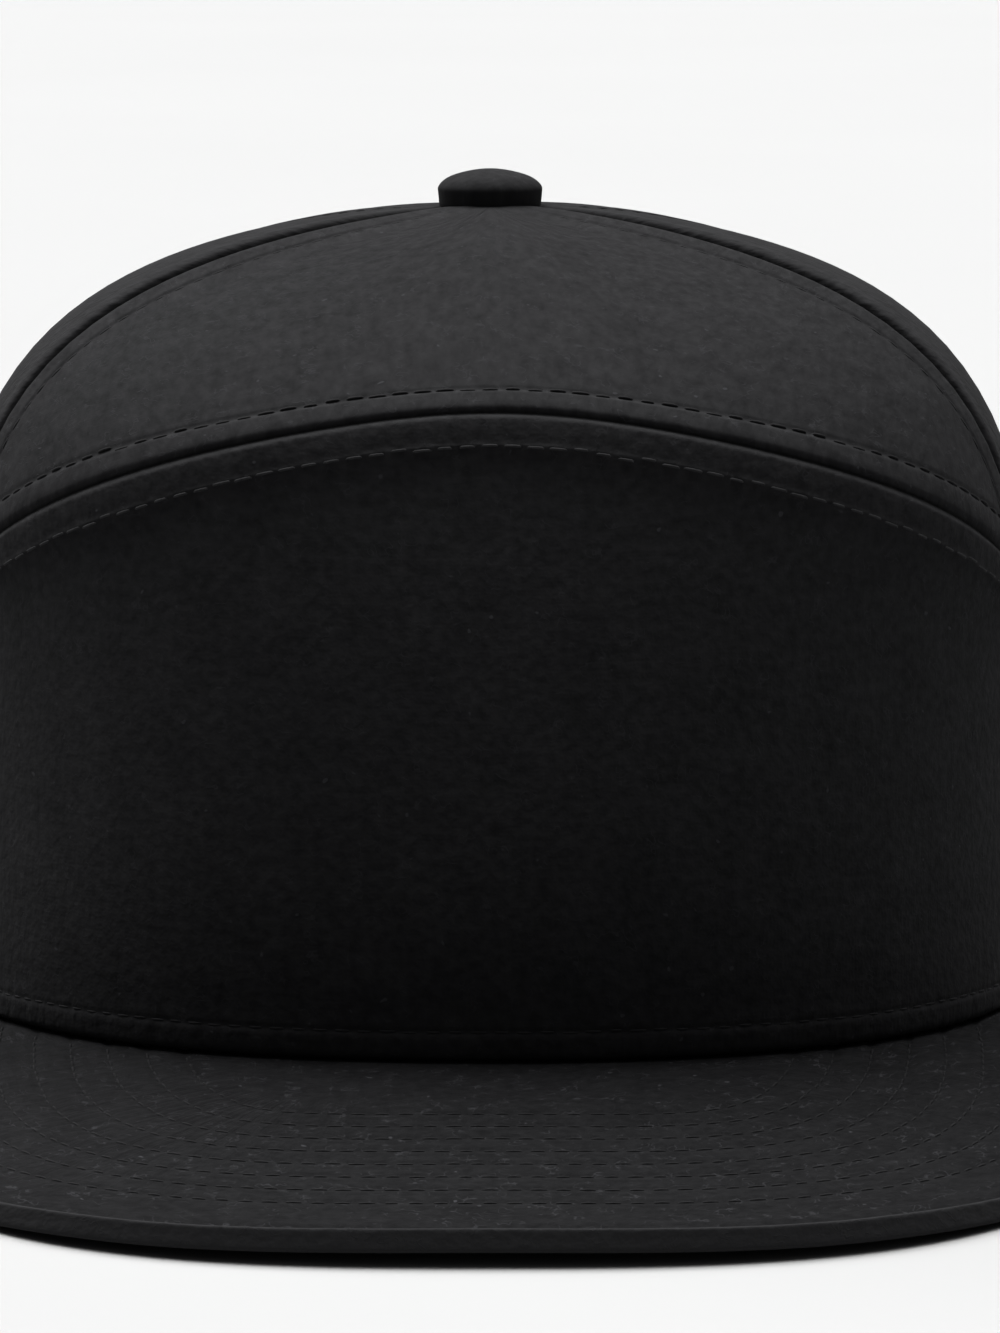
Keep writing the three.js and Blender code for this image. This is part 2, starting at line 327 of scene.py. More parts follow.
def distance_to(points, lines):
    """Shortest distance from each point to any of the lines, and how far along it is met."""
    flat = points.reshape(-1, 3)
    best = np.full(len(flat), 1e9)
    along = np.zeros(len(flat))
    for line in lines:
        start = line[:-1]
        run = np.diff(line, axis=0)
        length = np.maximum(np.linalg.norm(run, axis=1), 1e-9)
        before = np.concatenate([[0], np.cumsum(length)[:-1]])
        for block in range(0, len(flat), 4000):
            part = flat[block:block + 4000, None] - start
            t = np.clip((part * run).sum(-1) / length ** 2, 0, 1)
            gap = np.linalg.norm(part - t[..., None] * run, axis=-1)
            nearest = gap.argmin(1)
            rows = np.arange(len(nearest))
            closer = gap[rows, nearest] < best[block:block + 4000]
            target = np.flatnonzero(closer) + block
            best[target] = gap[rows, nearest][closer]
            found = before[nearest] + t[rows, nearest] * length[nearest]
            along[target] = found[closer]
    return best.reshape(points.shape[:-1]), along.reshape(points.shape[:-1])


SEAM_STITCH = 6.0            # topstitching beside a seam
ARCH_UPPER_STITCH = 5.0      # on the upper side of the arch seam
ARCH_LOWER_STITCH = 5.6      # and on its lower side
HEM_STITCH = 4.0
SEAM_DEPTH = 1.5
BACK_SEAM_DEPTH = 0.8
HEM_DEPTH = 0.75
ARCH_DEPTH = 0.6
SEAM_LIFT = 0.2              # the folded edges under the cloth beside a seam
LEDGE_LIFT = 0.35            # the stiffened edge under the arch seam stands higher
LEDGE_CREST = 0.5            # and higher still just above its stitches
LEDGE_CREST_AT = 5.2
LEDGE_BEVEL = 1.5            # width of its bevel
LEDGE_BEVEL_SHARE = 0.64     # of the whole drop to the seam
LEDGE_PUCKER_AT = 5.7
LEDGE_GROOVE_AT = 6.4


def bump(d, centre, spread):
    """A bell over the distance, 1 at its centre and 1/e one spread away."""
    return np.exp(-((d - centre) / spread) ** 2)


def allowance(d, row, lift=SEAM_LIFT, groove=0.22, spread=0.45):
    """The folded edges beneath lift the cloth as far as its stitches, which press a groove."""
    return lift * (0.5 - 0.5 * np.tanh((d - row - 0.3) / 0.3)) - groove * bump(d, row, spread)


def pressed_seam(d, depth=SEAM_DEPTH):
    """Cloth beside a flat seam: full up to the edge, then rolled down into a narrow valley."""
    return (-(depth + SEAM_LIFT) * bump(d, 0, 0.75) + 0.08 * bump(d, 2.3, 1.0)
            + allowance(d, SEAM_STITCH))


def back_seam(d):
    """The seams behind: the same, pressed less deep."""
    return pressed_seam(d, BACK_SEAM_DEPTH)


def puffed_seam(d):
    """The upper side of the arch seam: the top panel stays full, then rolls down sharply."""
    return (-(ARCH_DEPTH + SEAM_LIFT) * bump(d, 0, 0.6) + 0.06 * bump(d, 2.0, 0.9)
            + allowance(d, ARCH_UPPER_STITCH, groove=0.34, spread=0.6))


def ledge_seam(d):
    """The lower side: the stiff front panel's edge has a narrow bevel that faces up, a soft
    roll exp(-d / 2) up to the stitches and a small pucker along them."""
    depth = ARCH_DEPTH + LEDGE_LIFT + LEDGE_CREST
    t = np.clip(d / LEDGE_BEVEL, 0, 1)
    bevel = LEDGE_BEVEL_SHARE * depth * (t * t * (3 - 2 * t) - 1)
    roll = -(1 - LEDGE_BEVEL_SHARE) * depth * np.exp(-d / 2.0)
    crest = LEDGE_CREST * bump(np.maximum(d, LEDGE_CREST_AT), LEDGE_CREST_AT, 4.0)
    pucker = 0.15 * bump(d, LEDGE_PUCKER_AT, 0.5)
    return bevel + roll + crest + pucker + allowance(
        d, LEDGE_GROOVE_AT, LEDGE_LIFT, groove=0.26, spread=0.45)


def hem(d):
    """Cloth beside the rim: turned in at the edge, with one stitched line."""
    return -HEM_DEPTH * np.exp(-(d / 0.45) ** 1.5) + allowance(d, HEM_STITCH, 0.16)


def crown_relief(points, borders):
    """Relief from each border, weighted by 1 / distance**4, with the nearest border's
    distance and how far along it is met.

    It grows less towards the button, which holds the cloth flat, and the cloth puffs up a
    little just in front of the button: a bell over the distance from it. Two slow sine
    ripples of about 0.1 mm run over all of it.
    """
    total, weights = 0, 0
    nearest = np.full(points.shape[:-1], 1e9)
    along = np.zeros(points.shape[:-1])
    for line, shape in borders:
        d, run = distance_to(points, [line])
        weight = 1 / (d + 1e-3) ** 4
        total = total + weight * shape(d)
        weights = weights + weight
        along = np.where(d < nearest, run, along)
        nearest = np.minimum(d, nearest)
    ripple = 0.10 * np.sin(points[..., 0] / 9.0 + 1.3 * np.sin(points[..., 2] / 14.0))
    ripple += 0.08 * np.sin(points[..., 2] / 8.0 + points[..., 1] / 11.0)
    from_button = np.hypot(points[..., 0], points[..., 1])
    total = total / weights * (1 - 0.6 * bump(from_button, 0, 14.0))
    ahead = np.maximum(-points[..., 1], 0) / np.maximum(from_button, 1e-6)
    puff = 0.8 * bump(from_button, 9.0, 6.5) * ahead ** 2
    return total + ripple + puff, nearest, along


def on_crown(phi, share, borders):
    """Points of the sewn crown: the smooth form raised by the relief of seams and hems."""
    points = crown_point(phi, share)
    normal = crown_normal(phi, share)
    relief, seam, along = crown_relief(points, borders)
    return points + normal * relief[..., None], normal, seam, along


BORDERS = {
    "front_panel": [(arch_line, ledge_seam), (side_lines[1], pressed_seam),
                    (side_lines[-1], pressed_seam), (hem_lines[0], hem)],
    "top_panel": [(arch_line, puffed_seam), (side_lines[1], pressed_seam),
                  (side_lines[-1], pressed_seam)],
}
for side, hand in (("right", 1), ("left", -1)):
    BORDERS[f"side_panel_{side}"] = [
        (side_lines[hand], pressed_seam), (back_lines[hand], back_seam), (hem_lines[0], hem)]
    BORDERS[f"back_panel_{side}"] = [
        (back_lines[hand], back_seam), (centre_back_line, back_seam),
        (hem_lines[0], hem), (hem_lines[1 if hand > 0 else 2], hem)]


# distances from a seam, in mm, of the mesh lines beside it: closest where stitches press
EDGE_STEPS = np.array([
    0, 0.1, 0.2, 0.32, 0.46, 0.6, 0.76, 0.94, 1.14, 1.38, 1.66, 2.0, 2.4, 2.85, 3.3,
    3.6, 3.8, 4.0, 4.2, 4.4, 4.6, 4.8, 5.0, 5.2, 5.4, 5.6, 5.8, 6.0, 6.2, 6.4, 6.7,
    7.3, 8.5, 10.6])


EDGE_SHARE = 0.42            # the most of a panel's width that one edge's lines take


def spaced(width, count, high=True):
    """Fractions across each width: close lines beside a seam, even ones in between."""
    width = np.atleast_1d(width)[:, None]
    squeeze = np.minimum(1, EDGE_SHARE * width / EDGE_STEPS[-1])
    near = EDGE_STEPS * squeeze
    last = width - near[:, ::-1] if high else width
    inner = mix(near[:, -1:], last[:, :1], np.linspace(0, 1, count + 2)[1:-1])
    return np.concatenate([near, inner, last], 1) / width


def panel_chart(place, count_across, count_up, high_up=True):
    """Grid of angle and share: place maps fractions, spaced by the panel's real lengths."""
    even = np.linspace(0, 1, 61)
    rough = crown_point(*place(even[None, :], even[:, None]))
    widths = np.linalg.norm(np.diff(rough, axis=1), axis=-1).sum(1)
    lengths = np.linalg.norm(np.diff(rough, axis=0), axis=-1).sum(0)
    up = spaced(lengths.mean(), count_up, high=high_up)[0]
    across = spaced(widths.mean(), count_across)[0]
    c = spaced(np.interp(up, even, widths), count_across)
    s = spaced(np.interp(across, even, lengths), count_up, high=high_up).T
    return place(c, s)


def surface_object(name, points, uv, closed=False, seam_uv=None):
    """A mesh from a grid of points in mm, rows by columns, facing along row x column.

    A closed one joins its last row to its first and has a flat cap on both ends.
    """
    rows, columns = points.shape[:2]
    index = np.arange(rows * columns).reshape(rows, columns)
    if closed:
        index = np.concatenate([index, index[:1]])
    quads = np.stack([index[:-1, :-1], index[:-1, 1:], index[1:, 1:], index[1:, :-1]], -1)
    faces = quads.reshape(-1, 4).tolist()
    if closed:
        faces += [index[:-1, 0].tolist(), index[-2::-1, -1].tolist()]
    mesh = bpy.data.meshes.new(name)
    world_points = (points.reshape(-1, 3) + (0, SHIFT_Y, 0)) * MM
    mesh.from_pydata(world_points.tolist(), [], faces)
    mesh.polygons.foreach_set("use_smooth", np.ones(len(mesh.polygons), bool))
    corners = np.empty(len(mesh.loops), int)
    mesh.loops.foreach_get("vertex_index", corners)
    for label, values in (("cloth", uv), ("seam", seam_uv)):
        if values is not None:
            layer = mesh.uv_layers.new(name=label)
            layer.data.foreach_set("uv", values.reshape(-1, 2)[corners].ravel())
    piece = bpy.data.objects.new(name, mesh)
    scene.collection.objects.link(piece)
    return piece


def lengths_uv(points):
    """Distances in mm across and up a grid, measured from its middle column and its foot."""
    across = np.linalg.norm(np.diff(points, axis=1), axis=-1).cumsum(1)
    across = np.concatenate([np.zeros_like(across[:, :1]), across], 1)
    middle = across[:, across.shape[1] // 2]
    up = np.linalg.norm(np.diff(points, axis=0), axis=-1).cumsum(0)
    up = np.concatenate([np.zeros_like(up[:1]), up])
    return np.stack([across - middle[:, None], up], -1)


def thicken(piece, thickness):
    """The face stays where it is and the wall grows behind it."""
    wall = piece.modifiers.new("wall_thickness", "SOLIDIFY")
    wall.thickness = thickness * MM
    wall.offset = -1
    wall.use_even_offset = True


def place_between_side_seams(low, high):
    """Angle and share between the side seams; low and high bound the share at an angle.

    The angle follows the slanting side seams, so both are settled in a few rounds.
    """
    def place(c, s):
        turn = 2 * c - 1
        phi = turn * SIDE_SEAM_AT_RIM
        for _ in range(6):
            share = mix(low(phi), high(phi), s)
            phi = turn * side_seam(share)
        return phi + 0 * share, share + 0 * phi
    return place


# Brushed cotton, piece-dyed black: matt and close-woven, with a fine yarn grain, a
# felty mottle, short loose fibres that curl on the surface and a few specks of lint.
# The yarns are drawn at 0.6 mm, coarser than the real 0.3 mm, so that they show.
YARN = 0.6
YARN_SCALE = 2 * math.pi / 20 / YARN         # a wave texture at scale 1 repeats every pi / 10
LOOSE_FIBRE = "#29292b"
FOLD_PAINTED_SHADE = "#040404"             # painted shade in the fold of a seam, where little light reaches


def brushed_cotton(name, dark, light, gather=0.5, edge=None, nap_depth=0.30, fuzz=0.35,
                   lie=1.0):
    """Cotton between two tones: how deep it gathers and its nap stands, in mm, how fuzzy
    it is, how far its grain is stretched across, and a paler tone painted on an edge as painted
    light."""
    material, tree = blank_material(name)
    cloth = add_node(tree, "ShaderNodeUVMap", {"uv_map": "cloth"})
    seam = add_node(tree, "ShaderNodeUVMap", {"uv_map": "seam"})
    beside = add_node(tree, "ShaderNodeSeparateXYZ", inputs={"Vector": seam}).outputs["Y"]
    # each noise: cells to the mm, detail, roughness and stretch across the cloth
    noise = {}
    for layer, scale, detail, rough, stretch in (
            ("mottle", 0.13, 3.0, 0.6, 1), ("grain", 0.6, 2.5, 0.55, lie),
            ("curl", 0.5, 1.5, 0.5, 1), ("patch", 0.31, 1.0, 0.5, 1),
            ("lint", 0.5, 1.0, 0.5, 1), ("nap", 0.6, 2.0, 0.5, lie)):
        placed = add_node(tree, "ShaderNodeMapping", inputs={
            "Vector": cloth, "Scale": (1, stretch, 1)})
        noise[layer] = add_node(tree, "ShaderNodeTexNoise", inputs={
            "Vector": placed, "Scale": scale, "Detail": detail, "Roughness": rough})
    # a loose fibre lies where its noise passes through the middle
    offset = add_node(tree, "ShaderNodeMath", {"operation": "SUBTRACT"}, {
        0: noise["curl"], 1: 0.5})
    curl = add_node(tree, "ShaderNodeMath", {"operation": "ABSOLUTE"}, {0: offset})
    # each share: what it comes from, where it starts and ends, and its least and most
    share = {}
    for layer, value, start, end, least, most in (
            ("mottle", noise["mottle"], 0.32, 0.68, 0.0, 0.35),
            ("grain", noise["grain"], 0.28, 0.72, 0.0, 0.65),
            ("fibre", curl, 0.022, 0.006, 0.0, 1.0),
            ("patch", noise["patch"], 0.60 - 0.16 * fuzz, 0.68 - 0.16 * fuzz, 0.0, 1.0),
            ("lint", noise["lint"], 0.75, 0.79, 0.0, 1.0),
            # painted shade: the cloth is darkened in the fold beside each seam and hem, where
            # little light reaches
            ("fold_shade", beside, 0.5, 0.15, 0.0, 0.65)):
        share[layer] = add_node(tree, "ShaderNodeMapRange", inputs={
            "Value": value, "From Min": start, "From Max": end,
            "To Min": least, "To Max": most})
    shade = add_node(tree, "ShaderNodeMath", {"operation": "ADD"}, {
        0: share["mottle"], 1: share["grain"]})
    tuft = add_node(tree, "ShaderNodeMath", {"operation": "MULTIPLY"}, {
        0: share["patch"], 1: fuzz})
    fibre = add_node(tree, "ShaderNodeMath", {"operation": "MULTIPLY"}, {
        0: share["fibre"], 1: tuft})
    loose = add_node(tree, "ShaderNodeMath", {"operation": "MAXIMUM"}, {
        0: fibre, 1: share["lint"]})
    # colour: the two tones, then the fibres, the painted shade in the folds and the painted light
    # on an edge over them
    covers = [(shade, light), (loose, LOOSE_FIBRE), (share["fold_shade"], FOLD_PAINTED_SHADE)]
    # painted light: a paler tone over the cloth where it turns over the edge
    if edge:
        painted_edge_light = add_node(tree, "ShaderNodeMapRange", inputs={
            "Value": beside, "From Min": 20, "From Max": 38})
        covers.append((painted_edge_light, edge))
    colour = linear(dark)
    for cover, over in covers:
        colour = add_node(tree, "ShaderNodeMix", {"data_type": "RGBA"}, {
            "Factor": cover, "A": colour, "B": linear(over)})
    # relief: crossed yarns, a felty nap with raised fibres, and gathers beside a seam
    yarns = [add_node(tree, "ShaderNodeTexWave", {"bands_direction": direction}, {
        "Vector": cloth, "Scale": YARN_SCALE, "Distortion": 1.2,
        "Detail": 2.0, "Detail Scale": 1.5}).outputs["Fac"] for direction in ("X", "Y")]
    crossed = add_node(tree, "ShaderNodeMath", {"operation": "ADD"}, {0: yarns[0], 1: yarns[1]})
    woven = add_node(tree, "ShaderNodeMath", {"operation": "MULTIPLY"}, {0: crossed, 1: 0.5})
    raised = add_node(tree, "ShaderNodeMath", {"operation": "MULTIPLY"}, {0: loose, 1: 0.2})
    nap = add_node(tree, "ShaderNodeMath", {"operation": "ADD"}, {0: noise["nap"], 1: raised})
    streak = add_node(tree, "ShaderNodeMapping", inputs={"Vector": seam, "Scale": (1, 0.35, 1)})
    pull = add_node(tree, "ShaderNodeTexNoise", inputs={
        "Vector": streak, "Scale": 0.42, "Detail": 2.0})
    near = add_node(tree, "ShaderNodeMapRange", {"interpolation_type": "SMOOTHSTEP"}, {
        "Value": beside, "From Min": 7.5, "From Max": 2.5})
    gathers = add_node(tree, "ShaderNodeMath", {"operation": "MULTIPLY"}, {0: pull, 1: near})
    below = {}
    for height, strength, depth in ((woven, 0.5, 0.012), (nap, 0.7, nap_depth),
                                    (gathers, 0.8, gather)):
        relief = add_node(tree, "ShaderNodeBump", inputs={
            "Height": height, "Strength": strength, "Distance": depth * MM, **below})
        below = {"Normal": relief}
    shader = add_node(tree, "ShaderNodeBsdfPrincipled", inputs={
        "Base Color": colour, "Roughness": 0.9, "IOR": 1.45, "Specular IOR Level": 0.05,
        "Sheen Weight": 0.004, "Sheen Roughness": 0.5, "Normal": relief})
    add_node(tree, "ShaderNodeOutputMaterial", inputs={"Surface": shader})
    return material


panel_cotton = brushed_cotton("black_brushed_cotton", "#121213", "#202021")


def sewn_panel(node, chart, thickness, flip=False, cotton=panel_cotton):
    """A crown panel: the sewn surface over a chart of angle and share, which is turned
    over where it runs the other way round, then its thickness inwards."""
    phi, share = chart
    points, _, seam, along = on_crown(phi, share, BORDERS[node])
    uv = lengths_uv(points)
    if flip:
        points, uv, seam, along = (part[:, ::-1] for part in (points, uv, seam, along))
    piece = surface_object(f"sewn_{node}", points, uv, seam_uv=np.stack([along, seam], -1))
    thicken(piece, thickness)
    piece.data.materials.append(cotton)
    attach(piece, "root")
    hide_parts(node)


front_chart = panel_chart(place_between_side_seams(lambda phi: 0 * phi, arch_share), 56, 26)
sewn_panel("front_panel", front_chart, FRONT_THICKNESS)

# Top panel: a second panel of the same cotton, unstiffened, that falls back from the arch
# seam to the button and is sewn to the side panels down both edges. Its nap lies the
# other way and looks fuzzier and a little paler.

top_chart = panel_chart(
    place_between_side_seams(arch_share, hole_share), 56, 22, high_up=False)
top_cotton = brushed_cotton("black_cotton_brushed_backwards", "#111112", "#212122", fuzz=0.5,
                            lie=0.5)
sewn_panel("top_panel", top_chart, CLOTH_THICKNESS, cotton=top_cotton)

# Side panels: one tall gore on each side, from the rim to the button, in the same
# brushed cotton. Only a sliver of each shows from the front.

for side, hand in (("right", 1), ("left", -1)):
    def place_side(c, s, hand=hand):
        """Even steps between the side seam and the back seam, from rim to button."""
        share = s * hole_share(SIDE_SEAM_AT_RIM) + 0 * c
        return hand * mix(side_seam(share), BACK_SEAM, c), share
    chart = panel_chart(place_side, 26, 44, high_up=False)
    sewn_panel(f"side_panel_{side}", chart, CLOTH_THICKNESS, flip=hand < 0)

# Back panels: a pair of gores joined down the centre of the back, cut away below in
# a half-moon over the adjuster strap. The edge of the cut is turned in and stitched.

RIM_PART = 6 / 13            # share of the lower edge that lies on the rim
for side, hand in (("right", 1), ("left", -1)):
    def place_back(c, s, hand=hand):
        """Straight lines from the lower edge, rim then half-moon, up to the button."""
        arc = np.clip((c - RIM_PART) / (1 - RIM_PART), 0, 1) * math.pi / 2
        on_rim = mix(BACK_SEAM, corner_angle, np.clip(c / RIM_PART, 0, 1))
        arc_phi, arc_share = opening_arc(arc)
        low_phi = np.where(c <= RIM_PART, on_rim, arc_phi)
        low_share = np.where(c <= RIM_PART, 0, arc_share)
        share = mix(low_share, hole_share(low_phi), s)
        return hand * mix(low_phi, mix(BACK_SEAM, math.pi, c), s), share
    chart = panel_chart(place_back, 44, 40, high_up=False)
    sewn_panel(f"back_panel_{side}", chart, CLOTH_THICKNESS, flip=hand < 0)

# Topstitching: a row of black polyester thread on each side of every seam and one above
# the rim, each stitch a short loop that dives into the cloth at both ends. The two rows
# along the arch seam are drawn thicker than the real 0.4 mm, as they stand out so.

STITCH_PITCH = 3.2
STITCH_LENGTH = 2.8
STITCH_SPREAD = (0.75, 1.06)         # shortest and longest stitch, as shares of that
STITCH_WANDER = 0.07                 # mm to either side
THREAD_RADIUS = 0.19
ARCH_THREAD_RADIUS = {"upper": 0.29, "lower": 0.22}
ARCH_WANDER = {"upper": 0.16, "lower": 0.12}
STITCH_SIDES = 6
# a stitch's rings: share of its length, height over the path, share of the full radius
STITCH_WAY, STITCH_RISE, STITCH_FULL = np.array([
    (0.0, -0.30, 0.6), (0.15, -0.05, 0.95), (0.5, 0.0, 1.0), (0.85, -0.05, 0.95),
    (1.0, -0.30, 0.6)]).T
STITCH_END = 0.90                    # the rows beside the seams end under the button
ARCH_ROW_CLEAR = 0.03                # share that they stay clear of the arch seam
ARCH_ROW_REACH = 0.955               # of the arch seam's angle
hand_of_machine = np.random.default_rng(7)


def stitches(path, normals, thread_radius, wander):
    """Rings of thread along a path: each stitch is five six-sided rings and two ends."""
    run = np.linalg.norm(np.diff(path, axis=0), axis=1)
    length = np.concatenate([[0], run.cumsum()])
    count = int(length[-1] // STITCH_PITCH)
    middle = (np.arange(count) + 0.5) * length[-1] / count
    long = STITCH_LENGTH * hand_of_machine.uniform(*STITCH_SPREAD, count)
    at = middle[:, None] + long[:, None] * (STITCH_WAY - 0.5)

    def along(values, where):
        return np.stack([np.interp(where, length, values[:, k]) for k in range(3)], -1)

    centre = along(path, at)
    ahead = unit(along(path, at + 0.2) - along(path, at - 0.2))
    up = unit(along(normals, at))
    across = unit(np.cross(ahead, up))
    sway = hand_of_machine.normal(0, wander, count)[:, None, None]
    centre = centre + up * STITCH_RISE[:, None] + across * sway
    turn = np.arange(STITCH_SIDES) / STITCH_SIDES * 2 * math.pi
    radius = thread_radius * STITCH_FULL[:, None, None]
    ring = (across[:, :, None] * np.cos(turn)[:, None] + up[:, :, None] * np.sin(turn)[:, None])
    points = (centre[:, :, None] + radius * ring).reshape(count, -1, 3)
    rings = np.arange(len(STITCH_WAY) * STITCH_SIDES).reshape(-1, STITCH_SIDES)
    after = np.roll(rings, -1, 1)
    quads = np.stack([rings[:-1], rings[1:], after[1:], after[:-1]], -1).reshape(-1, 4)
    ends = np.stack([rings[0], rings[-1, ::-1]])
    return points, quads, ends


def thread_piece(name, rows, thread, thread_radius=THREAD_RADIUS, wander=STITCH_WANDER):
    """All the stitches of some rows as one mesh, closed and facing outwards."""
    points, faces, offset = [], [], 0
    for path, normals in rows:
        stitch, quads, ends = stitches(path, normals, thread_radius, wander)
        step = offset + np.arange(len(stitch))[:, None, None] * stitch.shape[1]
        faces += (quads[None] + step).reshape(-1, 4).tolist()
        faces += (ends[None] + step).reshape(-1, STITCH_SIDES).tolist()
        points.append(stitch.reshape(-1, 3))
        offset += len(stitch) * stitch.shape[1]
    mesh = bpy.data.meshes.new(name)
    world_points = (np.concatenate(points) + (0, SHIFT_Y, 0)) * MM
    mesh.from_pydata(world_points.tolist(), [], faces)
    mesh.polygons.foreach_set("use_smooth", np.ones(len(mesh.polygons), bool))
    mesh.materials.append(thread)
    piece = bpy.data.objects.new(name, mesh)
    scene.collection.objects.link(piece)
    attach(piece, "root")


# Spun polyester thread: a dull black with a little fuzz and hardly any gloss. Its plies
# are drawn at 0.7 mm, coarser than the real 0.3 mm, so that they show.
PLIES_PER_METRE = 1400.0


def spun_thread(name, dark, light):
    """Thread between two tones, in plies."""
    material, tree = blank_material(name)
    place = add_node(tree, "ShaderNodeTexCoord").outputs["Object"]
    ply = add_node(tree, "ShaderNodeTexNoise", inputs={
        "Vector": place, "Scale": PLIES_PER_METRE, "Detail": 1.0})
    ply_colour = add_node(tree, "ShaderNodeMix", {"data_type": "RGBA"}, {
        "Factor": ply, "A": linear(dark), "B": linear(light)})
    ply_bump = add_node(tree, "ShaderNodeBump", inputs={
        "Height": ply, "Strength": 0.4, "Distance": 0.06 * MM})
    shader = add_node(tree, "ShaderNodeBsdfPrincipled", inputs={
        "Base Color": ply_colour, "Roughness": 0.8, "IOR": 1.5, "Specular IOR Level": 0.06,
        "Normal": ply_bump})
    add_node(tree, "ShaderNodeOutputMaterial", inputs={"Surface": shader})
    return material


def sewn_row(node, phi, share, height=-0.05):
    """A row of thread on a panel, its middle at a height in mm over the cloth's surface."""
    points, normals, _, _ = on_crown(phi, share, BORDERS[node])
    return points + normals * height, normals


def beside(seam_phi, share, offset):
    """The seam's angle moved sideways by a distance in mm along the wall."""
    here = crown_point(seam_phi, share)
    return seam_phi + offset / np.hypot(here[..., 0], here[..., 1])


rows = []
tall = np.linspace(0.0, STITCH_END, 300)
for side, hand in (("right", 1), ("left", -1)):
    seam_phi = hand * side_seam(tall)
    inner = beside(seam_phi, tall, -hand * SEAM_STITCH)
    low = tall < arch_share(inner) - ARCH_ROW_CLEAR
    high = tall > arch_share(inner) + ARCH_ROW_CLEAR
    rows.append(sewn_row("front_panel", inner[low], tall[low]))
    rows.append(sewn_row("top_panel", inner[high], tall[high]))
    outer = beside(seam_phi, tall, hand * SEAM_STITCH)
    rows.append(sewn_row(f"side_panel_{side}", outer, tall))
    back_phi = hand * np.full_like(tall, BACK_SEAM)
    rows.append(sewn_row(f"side_panel_{side}", beside(back_phi, tall, -hand * SEAM_STITCH), tall))
    rows.append(sewn_row(f"back_panel_{side}", beside(back_phi, tall, hand * SEAM_STITCH), tall))
    back_share = np.linspace(top_of_opening + 0.03, STITCH_END, 240)
    centre = hand * np.full_like(back_share, math.pi)
    rows.append(sewn_row(f"back_panel_{side}", beside(centre, back_share, -hand * SEAM_STITCH),
                         back_share))

# The rows along the arch seam: the distance from it, in share, comes from how fast the
# wall runs away from the seam and how squarely it does so.
arch_rows = {}
arch_phi = mix(-1, 1, np.linspace(0, 1, 300)) * side_seam(ARCH_END_SHARE) * ARCH_ROW_REACH
step = 0.004
seam_share = arch_share(arch_phi)
along_seam = np.gradient(crown_point(arch_phi, seam_share), axis=0)
for row, node, side, distance in (("lower", "front_panel", -1, ARCH_LOWER_STITCH),
                                  ("upper", "top_panel", 1, ARCH_UPPER_STITCH)):
    run = (crown_point(arch_phi, seam_share + side * 4 * step)
           - crown_point(arch_phi, seam_share + side * step))
    lean = np.linalg.norm(np.cross(unit(run), unit(along_seam)), axis=-1)
    per_share = np.linalg.norm(run, axis=-1) / (3 * step)
    row_share = seam_share + side * distance / (per_share * lean)
    arch_rows[row] = [sewn_row(node, arch_phi, row_share, 0.05)]

for node, low, high in (
        ("back_panel_left", -corner_angle + HEM_STITCH / CROWN_BACK, -BACK_SEAM),
        ("side_panel_left", -BACK_SEAM, -SIDE_SEAM_AT_RIM),
        ("front_panel", -SIDE_SEAM_AT_RIM, SIDE_SEAM_AT_RIM),
        ("side_panel_right", SIDE_SEAM_AT_RIM, BACK_SEAM),
        ("back_panel_right", BACK_SEAM, corner_angle - HEM_STITCH / CROWN_BACK)):
    hem_phi = np.linspace(low, high, 200)
    rows.append(sewn_row(
        node, hem_phi, share_at_height(hem_phi, rim_height(hem_phi) + HEM_STITCH)))
low_turn = math.asin(HEM_STITCH / (OPENING_HEIGHT + HEM_STITCH))
arc_phi, arc_share = opening_arc(np.linspace(low_turn, math.pi / 2, 160), HEM_STITCH)
for side, hand in (("right", 1), ("left", -1)):
    rows.append(sewn_row(f"back_panel_{side}", hand * arc_phi, arc_share))
thread_piece("crown_topstitching", rows,
             spun_thread("black_polyester_thread", "#141415", "#222223"))
# the upper row's thread is painted darker, painted shade of its deep groove, and the lower one's
# paler, painted light on its ridge
arch_threads = {
    "upper": spun_thread("black_thread_painted_shade", "#0a0a0b", "#151516"),
    "lower": spun_thread("black_thread_painted_light", "#1b1b1c", "#2c2c2d"),
}
for row, thread in arch_threads.items():
    thread_piece(f"arch_topstitching_{row}", arch_rows[row], thread,
                 ARCH_THREAD_RADIUS[row], ARCH_WANDER[row])

# Button: a tin button covered in a disc of the same cotton, drawn tight over a flat
# cap with an upright edge, fixed through the point where the panels meet. Its outline is
# turned round its axis, with the cloth's small gathers as two sines round its skirt.

BUTTON_BASE = CROWN_HEIGHT + 0.3
SKIRT_MIDDLE = 1.2
SKIRT_SPREAD = 1.3
# the outline, from the underside's centre to the top: radius and height over the base
BUTTON_OUTLINE = np.array([
    (0.0, -0.9), (4.0, -0.9), (6.6, -0.9), (7.4, -0.8), (7.7, -0.5), (7.8, 0.2), (7.86, 1.1),
    (7.93, 1.8), (7.98, 2.2), (7.97, 2.45), (7.86, 2.72), (7.66, 3.02), (7.4, 3.3), (7.05, 3.6),
    (6.6, 3.9), (6.0, 4.2), (5.3, 4.46), (4.5, 4.7), (3.6, 4.92), (2.6, 5.12), (1.5, 5.27),
    (0.7, 5.32), (0.0, 5.33)])
FAR_FROM_SEAMS = 30.0        # for cloth that no seam gathers
WELD_DISTANCE = 0.01 * MM
around = np.linspace(0, 2 * math.pi, 97)
outline_radius, outline_height = BUTTON_OUTLINE.T[..., None]
gathers = 0.05 * np.sin(around * 18) + 0.03 * np.sin(around * 7 + 1)
ring_radius = outline_radius + gathers * bump(outline_height, SKIRT_MIDDLE, SKIRT_SPREAD)
button_points = np.stack([
    ring_radius * np.cos(around), ring_radius * np.sin(around),
    BUTTON_BASE + outline_height + 0 * around], -1)
